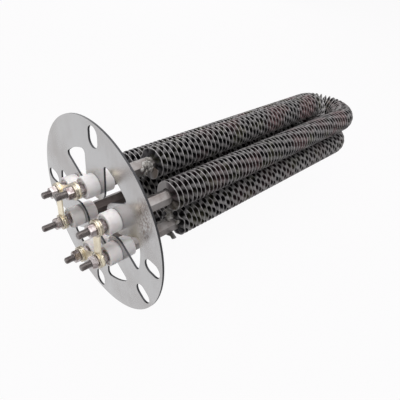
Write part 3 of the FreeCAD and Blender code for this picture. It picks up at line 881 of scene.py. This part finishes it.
@dataclass
class Welds:
    """Blobs of weld on two leads, and a collar of weld where a tube shows beside its strip."""

    lumps: tuple[Lump, ...] = (
        Lump("top", 42.0 * MM, 105.0, 4.4 * MM, 2.4 * MM),
        Lump("top", 41.4 * MM, 150.0, 4.5 * MM, 2.7 * MM),
        Lump("top", 42.4 * MM, 190.0, 4.8 * MM, 2.4 * MM),
        Lump("top", 37.6 * MM, 130.0, 4.5 * MM, 2.2 * MM),
        Lump("top", 38.0 * MM, 205.0, 5.0 * MM, 2.3 * MM),
        Lump("top", 34.5 * MM, 165.0, 4.5 * MM, 2.0 * MM),
        Lump("lower_right", 49.0 * MM, 74.0, 10.5 * MM, 2.9 * MM),
        Lump("lower_right", 46.0 * MM, 92.0, 7.6 * MM, 2.6 * MM),
        Lump("lower_right", 51.0 * MM, 140.0, 6.6 * MM, 2.0 * MM),
    )
    unevenness: float = 0.34
    waves: int = 9
    wave_fineness: float = 900.0
    rings: int = 26
    sides: int = 40
    pole_gap: float = 0.06
    smooth_below: float = 1.2
    collar_terminal: str = "upper_right"
    collar_length: float = 2.2 * MM
    collar_overlap: float = 0.55 * MM
    collar_rounding: float = 0.55 * MM
    collar_radius: float = 5.6 * MM
    collar_bore: float = 4.9 * MM

    def build(self) -> None:
        """Add the blobs and the collar."""
        blobs = joined([self.blob(lump, seed) for seed, lump in enumerate(self.lumps)])
        add_piece(blobs.mesh("weld_blobs", self.smooth_below), WELD.material(), "lead_steel")
        node = f"cold_lead_{self.collar_terminal}"
        lead_end = reach_along(node)[1]
        profile = ring_profile(lead_end - self.collar_overlap, lead_end + self.collar_length,
                               self.collar_bore, self.collar_radius)
        collar = turned(rounded(profile, self.collar_rounding), axis_of(node))
        add_piece(collar.mesh("weld_collar"), LEAD_STEEL.material(), "lead_steel")

    def blob(self, lump: Lump, seed: int) -> Shape:
        """One uneven blob.

        Args:
            lump: where it is and its size.
            seed: number that picks its shape.

        Returns:
            The blob.
        """
        axis = axis_of(f"cold_lead_{lump.terminal}")
        centre = about_axis(lump.along, lump.reach, math.radians(lump.angle), axis)[0]
        slope = np.linspace(self.pole_gap, math.pi - self.pole_gap, self.rings)[:, None]
        turn = np.linspace(0, 2 * math.pi, self.sides, endpoint=False)
        ball = np.stack([np.cos(slope) + 0 * turn, np.sin(slope) * np.cos(turn),
                         np.sin(slope) * np.sin(turn)], axis=-1).reshape(-1, 3)
        around = np.arange(self.sides)
        caps = np.stack([around, (self.rings - 1) * self.sides + around[::-1]])
        faces = [grid_faces(self.rings, self.sides, False, True), caps]
        return Shape(self.lumpy(centre + lump.size * ball, centre, seed), faces)

    def lumpy(self, points: np.ndarray, centre: np.ndarray, seed: int) -> np.ndarray:
        """Push points out from a centre, or in towards it, in soft lumps.

        Args:
            points: n by 3 places.
            centre: the centre.
            seed: number that picks the lumps.

        Returns:
            The moved points.
        """
        draw = np.random.default_rng(seed)
        waves = draw.normal(0, self.wave_fineness, (self.waves, 3))
        phases = draw.uniform(0, 2 * math.pi, self.waves)
        height = np.sin(points @ waves.T + phases).sum(axis=1) / math.sqrt(self.waves)
        return centre + (points - centre) * (1 + self.unevenness * height)[:, None]


@dataclass(frozen=True)
class StripEnd:
    """How one end of a fin strip leaves the tight winding.

    The angle is in degrees about +X from +Y. Loose and flat are numbers of turns, those off the
    tight winding and those without a crimp, and over the runs crimp and scorch set in. Setback lies
    between the route's end and the tight winding.
    """

    angle: float
    loose: float = 0.0
    loose_pitch: float = 4.3 * MM
    flat: float = 0.0
    scorch: float = 0.0
    setback: float = 0.42 * MM
    crimp_run: float = 0.12
    scorch_run: float = 0.1

    def crimped(self, past: np.ndarray) -> np.ndarray:
        """Share of its crimp that the strip has at places past the tight winding's end, in turns."""
        return np.clip((self.loose - self.flat - past) / self.crimp_run, 0, 1)

    def burnt(self, past: np.ndarray) -> np.ndarray:
        """How burnt the strip is at places past the tight winding's end, in turns."""
        return self.scorch * np.clip((past - self.loose + self.flat) / self.scorch_run, 0, 1)

    def unwound(self, past: np.ndarray) -> np.ndarray:
        """Distance from the tight winding of places past its end, in turns."""
        return np.clip(past, 0, None) * self.loose_pitch


@dataclass(frozen=True)
class Sway:
    """Slow wave along a strip: its height, its radians to a turn, and where it starts."""

    height: float
    rate: float
    start: float = 0.0

    def at(self, turn: np.ndarray) -> np.ndarray:
        """Height of the wave at places given in turns."""
        return self.height * np.sin(self.rate * turn + self.start)


@dataclass(frozen=True)
class Route:
    """Centre line of a U: a leg, a quarter bend, a straight, a quarter bend, and a leg.

    The legs run along x from their starts to leg_end, half to each side of the middle.
    """

    starts: tuple[float, float]
    leg_end: float
    middle: np.ndarray
    across: np.ndarray
    half: float
    bend: float

    def marks(self) -> np.ndarray:
        """Measure the five stretches.

        Returns:
            Distances along the line at which they end.
        """
        quarter = self.bend * math.pi / 2
        first, second = (self.leg_end - start for start in self.starts)
        return np.cumsum([first, quarter, 2 * (self.half - self.bend), quarter, second])

    def stations(self, distance: np.ndarray) -> tuple[np.ndarray, np.ndarray, np.ndarray]:
        """Follow the line.

        Args:
            distance: distances along it.

        Returns:
            Places, directions and outward sides there.
        """
        marks = self.marks()
        run = np.searchsorted(marks[:-1], distance, side="left")
        gone = distance - np.concatenate([[0.0], marks])[run]
        still = 0 * gone
        inset = self.half - self.bend
        turn = np.choose(run, [still, gone / self.bend, still + math.pi / 2,
                               math.pi / 2 + gone / self.bend, still + math.pi])
        bent = self.leg_end + self.bend * np.sin(turn)
        x = np.choose(run, [self.starts[0] + gone, bent, self.leg_end + self.bend + still, bent,
                            self.leg_end - gone])
        y = np.choose(run, [self.half + still, inset + self.bend * np.cos(turn), inset - gone,
                            self.bend * np.cos(turn) - inset, still - self.half])
        along = np.array([1.0, 0.0, 0.0])
        place = self.middle + x[:, None] * along + y[:, None] * self.across
        heading = np.cos(turn)[:, None] * along - np.sin(turn)[:, None] * self.across
        outward = np.sin(turn)[:, None] * along + np.cos(turn)[:, None] * self.across
        return place, heading, outward


@dataclass
class FinnedElement:
    """One U-shaped element: its tube, and its strip wound on edge and crimped at the root.

    Rows are shares of the way from root to edge, and crimp is the crimp's height at each row. Drift
    moves a turn along the route and lean tips it over. Wander shifts the crimps round the turn, and
    the loss takes some of their height. At the end of the tight winding the strip leaves its tube
    over the loosening run, and painted shade darkens its crests from the dark run before that end
    on, both in turns.
    """

    name: str
    terminals: tuple[str, str]
    ends: tuple[StripEnd, StripEnd]
    bend_straight: float
    waves_per_turn: float
    edge_wave: float = 0.05 * MM
    loose_wave: float = 0.7 * MM
    pitch: float = 4.3 * MM
    edge_radius: float = 12.0 * MM
    root_radius: float = 5.1 * MM
    loose_radius: float = 6.4 * MM
    thickness: float = 0.42 * MM
    rows: tuple[float, ...] = (0.0, 0.5, 0.78, 1.0)
    crimp: tuple[float, ...] = (1.85 * MM, 1.7 * MM, 0.7 * MM, 0.0)
    steps_per_turn: int = 80
    smooth_below: float = 1.0
    squareness: float = 1.7
    drift: tuple[Sway, ...] = (Sway(0.16 * MM, 1.31), Sway(0.16 * MM, 0.57, 1.0))
    lean: Sway = Sway(0.16 * MM, 0.23, 2.0)
    wander: tuple[Sway, ...] = (Sway(0.45, 2.7), Sway(0.27, 4.3, 1.0))
    crimp_loss: float = 0.3
    loss_rate: float = 3.1
    loss_wander: Sway = Sway(1.0, 1.9)
    loosening_run: float = 0.08
    loosening_share: float = 0.6
    scorch_depth: float = 0.2
    flat_depth: float = 0.975
    end_darkness: float = 0.5
    dark_run: float = 1.3

    def build(self, strip_finish: Material, tube_finish: Material) -> None:
        """Wind the strip and dress the tube.

        Args:
            strip_finish: material of the strip.
            tube_finish: material of the tube.
        """
        dress(f"sheath_tube_{self.name}", tube_finish)
        node = f"fin_strip_{self.name}"
        strip, marks = self.wound_strip(node)
        mesh = strip.mesh(f"wound_strip_{self.name}", self.smooth_below)
        for mark, values in marks.items():
            attribute = mesh.attributes.new(mark.value, "FLOAT", "POINT")
            attribute.data.foreach_set("value", values.astype(np.float32))
        add_piece(mesh, strip_finish, "fin_steel", node)

    def route(self, node: str) -> Route:
        """Centre line of the element, read from the places of its leads and of its strip's box.

        Args:
            node: CAD node of the strip.

        Returns:
            The line.
        """
        leads = [f"cold_lead_{terminal}" for terminal in self.terminals]
        first, second = (np.array([0.0, *axis_of(lead)]) for lead in leads)
        width = np.linalg.norm(first - second)
        bend = (width - self.bend_straight) / 2
        return Route(
            starts=tuple(reach_along(lead)[1] for lead in leads),
            leg_end=reach_along(node)[1] - self.edge_radius - bend,
            middle=(first + second) / 2,
            across=(first - second) / width,
            half=width / 2,
            bend=bend,
        )

    def winding(self, route: Route) -> tuple[float, float]:
        """Number of tight turns, and the angle at which they start, that suit both ends.

        Args:
            route: centre line of the element.

        Returns:
            Turns, and the angle from the first leg's outward side.
        """
        lean = math.atan2(route.across[2], route.across[1])
        first = math.radians(self.ends[0].angle) - lean
        last = lean + math.pi - math.radians(self.ends[1].angle)
        part = (last - first) / (2 * math.pi) % 1.0
        return round(self.wound_length(route) / self.pitch - part) + part, first

    def wound_length(self, route: Route) -> float:
        """Length of the route that the tight turns take up."""
        return route.marks()[-1] - self.ends[0].setback - self.ends[1].setback

    def strip_faces(self, steps: int) -> list[np.ndarray]:
        """Faces round the strip, and the faces of its two cut ends.

        Args:
            steps: number of cross-sections.

        Returns:
            The faces.
        """
        columns = 2 * len(self.rows)
        cut = np.array([[near, columns - 1 - near, columns - 2 - near, near + 1]
                        for near in range(len(self.rows) - 1)])
        last = (steps - 1) * columns
        return [grid_faces(steps, columns, False, True), cut, last + cut[:, ::-1]]

    def wound_strip(self, node: str) -> tuple[Shape, dict[Mark, np.ndarray]]:
        """The whole winding and its marks.

        Args:
            node: CAD node of the strip.

        Returns:
            The strip, and each mark's value at its points.
        """
        route = self.route(node)
        turns, start = self.winding(route)
        first, second = self.ends
        steps = int((turns + first.loose + second.loose) * self.steps_per_turn)
        turn = np.linspace(-first.loose, turns + second.loose, steps)
        before, after = -turn, turn - turns
        tight = np.clip(turn, 0, turns) / turns * self.wound_length(route)
        distance = first.setback + tight - first.unwound(before) + second.unwound(after)
        place, heading, outward = route.stations(distance)
        angle = start + 2 * math.pi * turn
        spoke = np.cos(angle)[:, None] * outward + np.sin(angle)[:, None] * np.cross(heading, outward)
        crimped = np.minimum(first.crimped(before), second.crimped(after))
        burnt = np.maximum(first.burnt(before), second.burnt(after))
        swing = np.sin(angle * self.waves_per_turn + sum(sway.at(turn) for sway in self.wander))
        loss = self.crimp_loss * (0.5 + 0.5 * np.sin(self.loss_rate * turn + self.loss_wander.at(turn)))
        wave = np.tanh(self.squareness * swing) / math.tanh(self.squareness) * crimped * (1 - loss)
        past_end = np.maximum(before, after)
        off_tube = np.clip(past_end / self.loosening_run + self.loosening_share, 0, 1)
        root = self.root_radius + (self.loose_radius - self.root_radius) * off_tube
        drift, lean = sum(sway.at(turn) for sway in self.drift), self.lean.at(turn)
        # Painted shade on the crimp's crests near the strip's ends.
        light = 1 - self.end_darkness * np.clip(self.dark_run + past_end, 0, 1)
        # Flat turns are marked as outer edge, so they take its bare colour and painted highlight.
        flat = self.flat_depth * (1 - crimped) - self.scorch_depth * burnt
        rings, marks = [], {mark: [] for mark in Mark}
        for face in (1, -1):
            for row, crimp in list(zip(self.rows, self.crimp))[::face]:
                radius = root + (self.edge_radius - root) * row
                ripple = swing * (self.edge_wave + self.loose_wave * off_tube * row) * crimped
                lift = wave * crimp + ripple + drift + lean * row + face * self.thickness / 2
                rings.append(place + spoke * radius[:, None] + heading * lift[:, None])
                marks[Mark.DEPTH].append(np.maximum(row, flat))
                marks[Mark.CREST].append(np.maximum((0.5 + 0.5 * wave * face) * light, 1 - crimped))
                marks[Mark.SCORCH].append(burnt)
        strip = Shape(np.stack(rings, axis=1).reshape(-1, 3), self.strip_faces(steps))
        return strip, {mark: np.stack(values, axis=1).ravel() for mark, values in marks.items()}


MIDDLE = FinnedElement(
    "middle", ("top", "bottom"),
    ends=(StripEnd(35.0, loose=0.61, loose_pitch=5.0 * MM, flat=0.22, scorch=1.0),
          StripEnd(100.0, loose=0.2)),
    bend_straight=26.0 * MM, waves_per_turn=8.65)
UPPER = FinnedElement(
    "upper", ("upper_left", "upper_right"),
    ends=(StripEnd(60.0, loose=0.5, loose_pitch=7.0 * MM),
          StripEnd(80.0, loose=0.4, loose_pitch=1.5 * MM, flat=0.38, setback=2.4 * MM)),
    bend_straight=2.2 * MM, waves_per_turn=7.87)
LOWER = FinnedElement(
    "lower", ("lower_left", "lower_right"),
    ends=(StripEnd(90.0), StripEnd(150.0, loose=0.85, loose_pitch=8.5 * MM)),
    bend_straight=2.2 * MM, waves_per_turn=7.55, edge_wave=0.35 * MM)


@dataclass(frozen=True)
class Lamp:
    """Soft square lamp: where it hangs, the point that it lights, its side, and its watts."""

    name: str
    place: Place
    target: Place
    size: float
    power: float

    def hang(self) -> None:
        """Add the lamp to the scene."""
        data = bpy.data.lights.new(self.name, "AREA")
        data.size = self.size
        data.energy = self.power
        lamp = bpy.data.objects.new(self.name, data)
        aim = Vector(self.target) - Vector(self.place)
        lamp.location = self.place
        lamp.rotation_euler = aim.to_track_quat("-Z", "Y").to_euler()
        bpy.context.scene.collection.objects.link(lamp)


@dataclass
class Studio:
    """Camera, floor, world and lamps."""

    camera_place: Place = (-0.1133748, -0.1987377, 0.1880195)
    camera_right: Place = (0.724081, -0.681225, 0.107895)
    camera_up: Place = (0.348322, 0.496192, 0.795281)
    lens_mm: float = 35.376
    sensor_mm: float = 36.0
    seen_depth: Range = (0.01, 50.0)
    floor_height: float = -75.2 * MM
    floor_size: float = 12.0
    floor_paint: Colour = (0.42, 0.42, 0.42)
    floor_roughness: float = 0.9
    floor_white: Colour = (1.0, 0.995, 1.0)
    floor_glow: float = 0.955
    backdrop: Colour = (0.973, 0.966, 0.973)
    backdrop_strength: float = 1.0
    world_light: float = 0.06
    lamps: tuple[Lamp, ...] = (
        Lamp("overhead", (0.1, -0.1, 1.0), (0.1, 0.0, 0.0), 1.35, 12.8),
        Lamp("front", (-1.0, -0.2, 0.95), (0.0, 0.0, 0.0), 1.0, 6.3),
        Lamp("rear", (0.8, 1.0, 0.45), (0.15, 0.0, 0.0), 1.0, 6.0),
    )

    def build(self) -> None:
        """Set the whole studio up."""
        self.camera()
        self.floor()
        self.world()
        for lamp in self.lamps:
            lamp.hang()
        bpy.context.scene.view_settings.view_transform = "Standard"

    def camera(self) -> None:
        """Place the camera as the photograph was taken."""
        data = bpy.data.cameras.new("camera")
        data.lens = self.lens_mm
        data.sensor_width = self.sensor_mm
        data.clip_start, data.clip_end = self.seen_depth
        right, up = Vector(self.camera_right).normalized(), Vector(self.camera_up).normalized()
        camera = bpy.data.objects.new("camera", data)
        turn = Matrix((right, up, right.cross(up))).transposed().to_4x4()
        camera.matrix_world = Matrix.Translation(self.camera_place) @ turn
        bpy.context.scene.collection.objects.link(camera)
        bpy.context.scene.camera = camera

    def floor(self) -> None:
        """Lay a pale floor that shows the backdrop's colour and the object's shadow."""
        half, height = self.floor_size / 2, self.floor_height
        points = np.array([[-half, -half, height], [half, -half, height], [half, half, height],
                           [-half, half, height]])
        mesh = Shape(points, [np.array([[0, 1, 2, 3]])]).mesh("floor")
        floor = bpy.data.objects.new("floor", mesh)
        bpy.context.scene.collection.objects.link(floor)
        mesh.materials.append(self.floor_material())

    def floor_material(self) -> Material:
        """Mix matt paint with a glow that only seen rays get.

        Returns:
            The material.
        """
        sheet = NodeSheet("floor")
        sheet.shader.inputs["Base Color"].default_value = (*self.floor_paint, 1.0)
        sheet.shader.inputs["Roughness"].default_value = self.floor_roughness
        sheet.shader.inputs["Specular IOR Level"].default_value = 0.0
        glow = sheet.add("Emission", Color=(*self.floor_white, 1.0), Strength=1.0)
        share = sheet.maths("MULTIPLY", self.seen_ray(sheet.tree), self.floor_glow)
        mix = sheet.tree.nodes.new("ShaderNodeMixShader")
        for place, value in enumerate((share, sheet.shader.outputs["BSDF"], glow.outputs[0])):
            sheet.feed(mix, place, value)
        sheet.feed(sheet.tree.nodes["Material Output"], "Surface", mix.outputs[0])
        return sheet.material

    @staticmethod
    def seen_ray(tree: bpy.types.NodeTree) -> Socket:
        """1 for rays from the camera, a gloss or a glass, else 0.

        Args:
            tree: nodes to add to.

        Returns:
            The value's socket.
        """
        path = tree.nodes.new("ShaderNodeLightPath")
        seen = path.outputs["Is Camera Ray"]
        for ray in ("Is Glossy Ray", "Is Transmission Ray"):
            larger = tree.nodes.new("ShaderNodeMath")
            larger.operation = "MAXIMUM"
            tree.links.new(seen, larger.inputs[0])
            tree.links.new(path.outputs[ray], larger.inputs[1])
            seen = larger.outputs[0]
        return seen

    def world(self) -> None:
        """Give the world a white backdrop for seen rays, and a faint light for all others."""
        world = bpy.data.worlds.new("studio")
        world.use_nodes = True
        bpy.context.scene.world = world
        tree = world.node_tree
        background = tree.nodes["Background"]
        background.inputs["Color"].default_value = (*self.backdrop, 1.0)
        strength = tree.nodes.new("ShaderNodeMapRange")
        strength.inputs["To Min"].default_value = self.world_light
        strength.inputs["To Max"].default_value = self.backdrop_strength
        tree.links.new(self.seen_ray(tree), strength.inputs["Value"])
        tree.links.new(strength.outputs["Result"], background.inputs["Strength"])


def main() -> None:
    """Build the looks of the heater piece by piece."""
    logging.basicConfig(level=logging.INFO, format="%(name)s: %(message)s")
    Studio().build()
    Flange().dress()
    CeramicBushes().build()
    TerminalStuds().build()
    Fasteners().build()
    LinksAndLeads().dress()
    Welds().build()
    # The lower element takes the strip's lit copy, with painted light from the floor.
    dark, pale, tube = FIN_STRIP.material(), FLOOR_LIT_STRIP.material(), SHEATH_STEEL.material()
    for element, strip in ((MIDDLE, dark), (UPPER, dark), (LOWER, pale)):
        element.build(strip, tube)


if __name__ == "__main__":
    main()
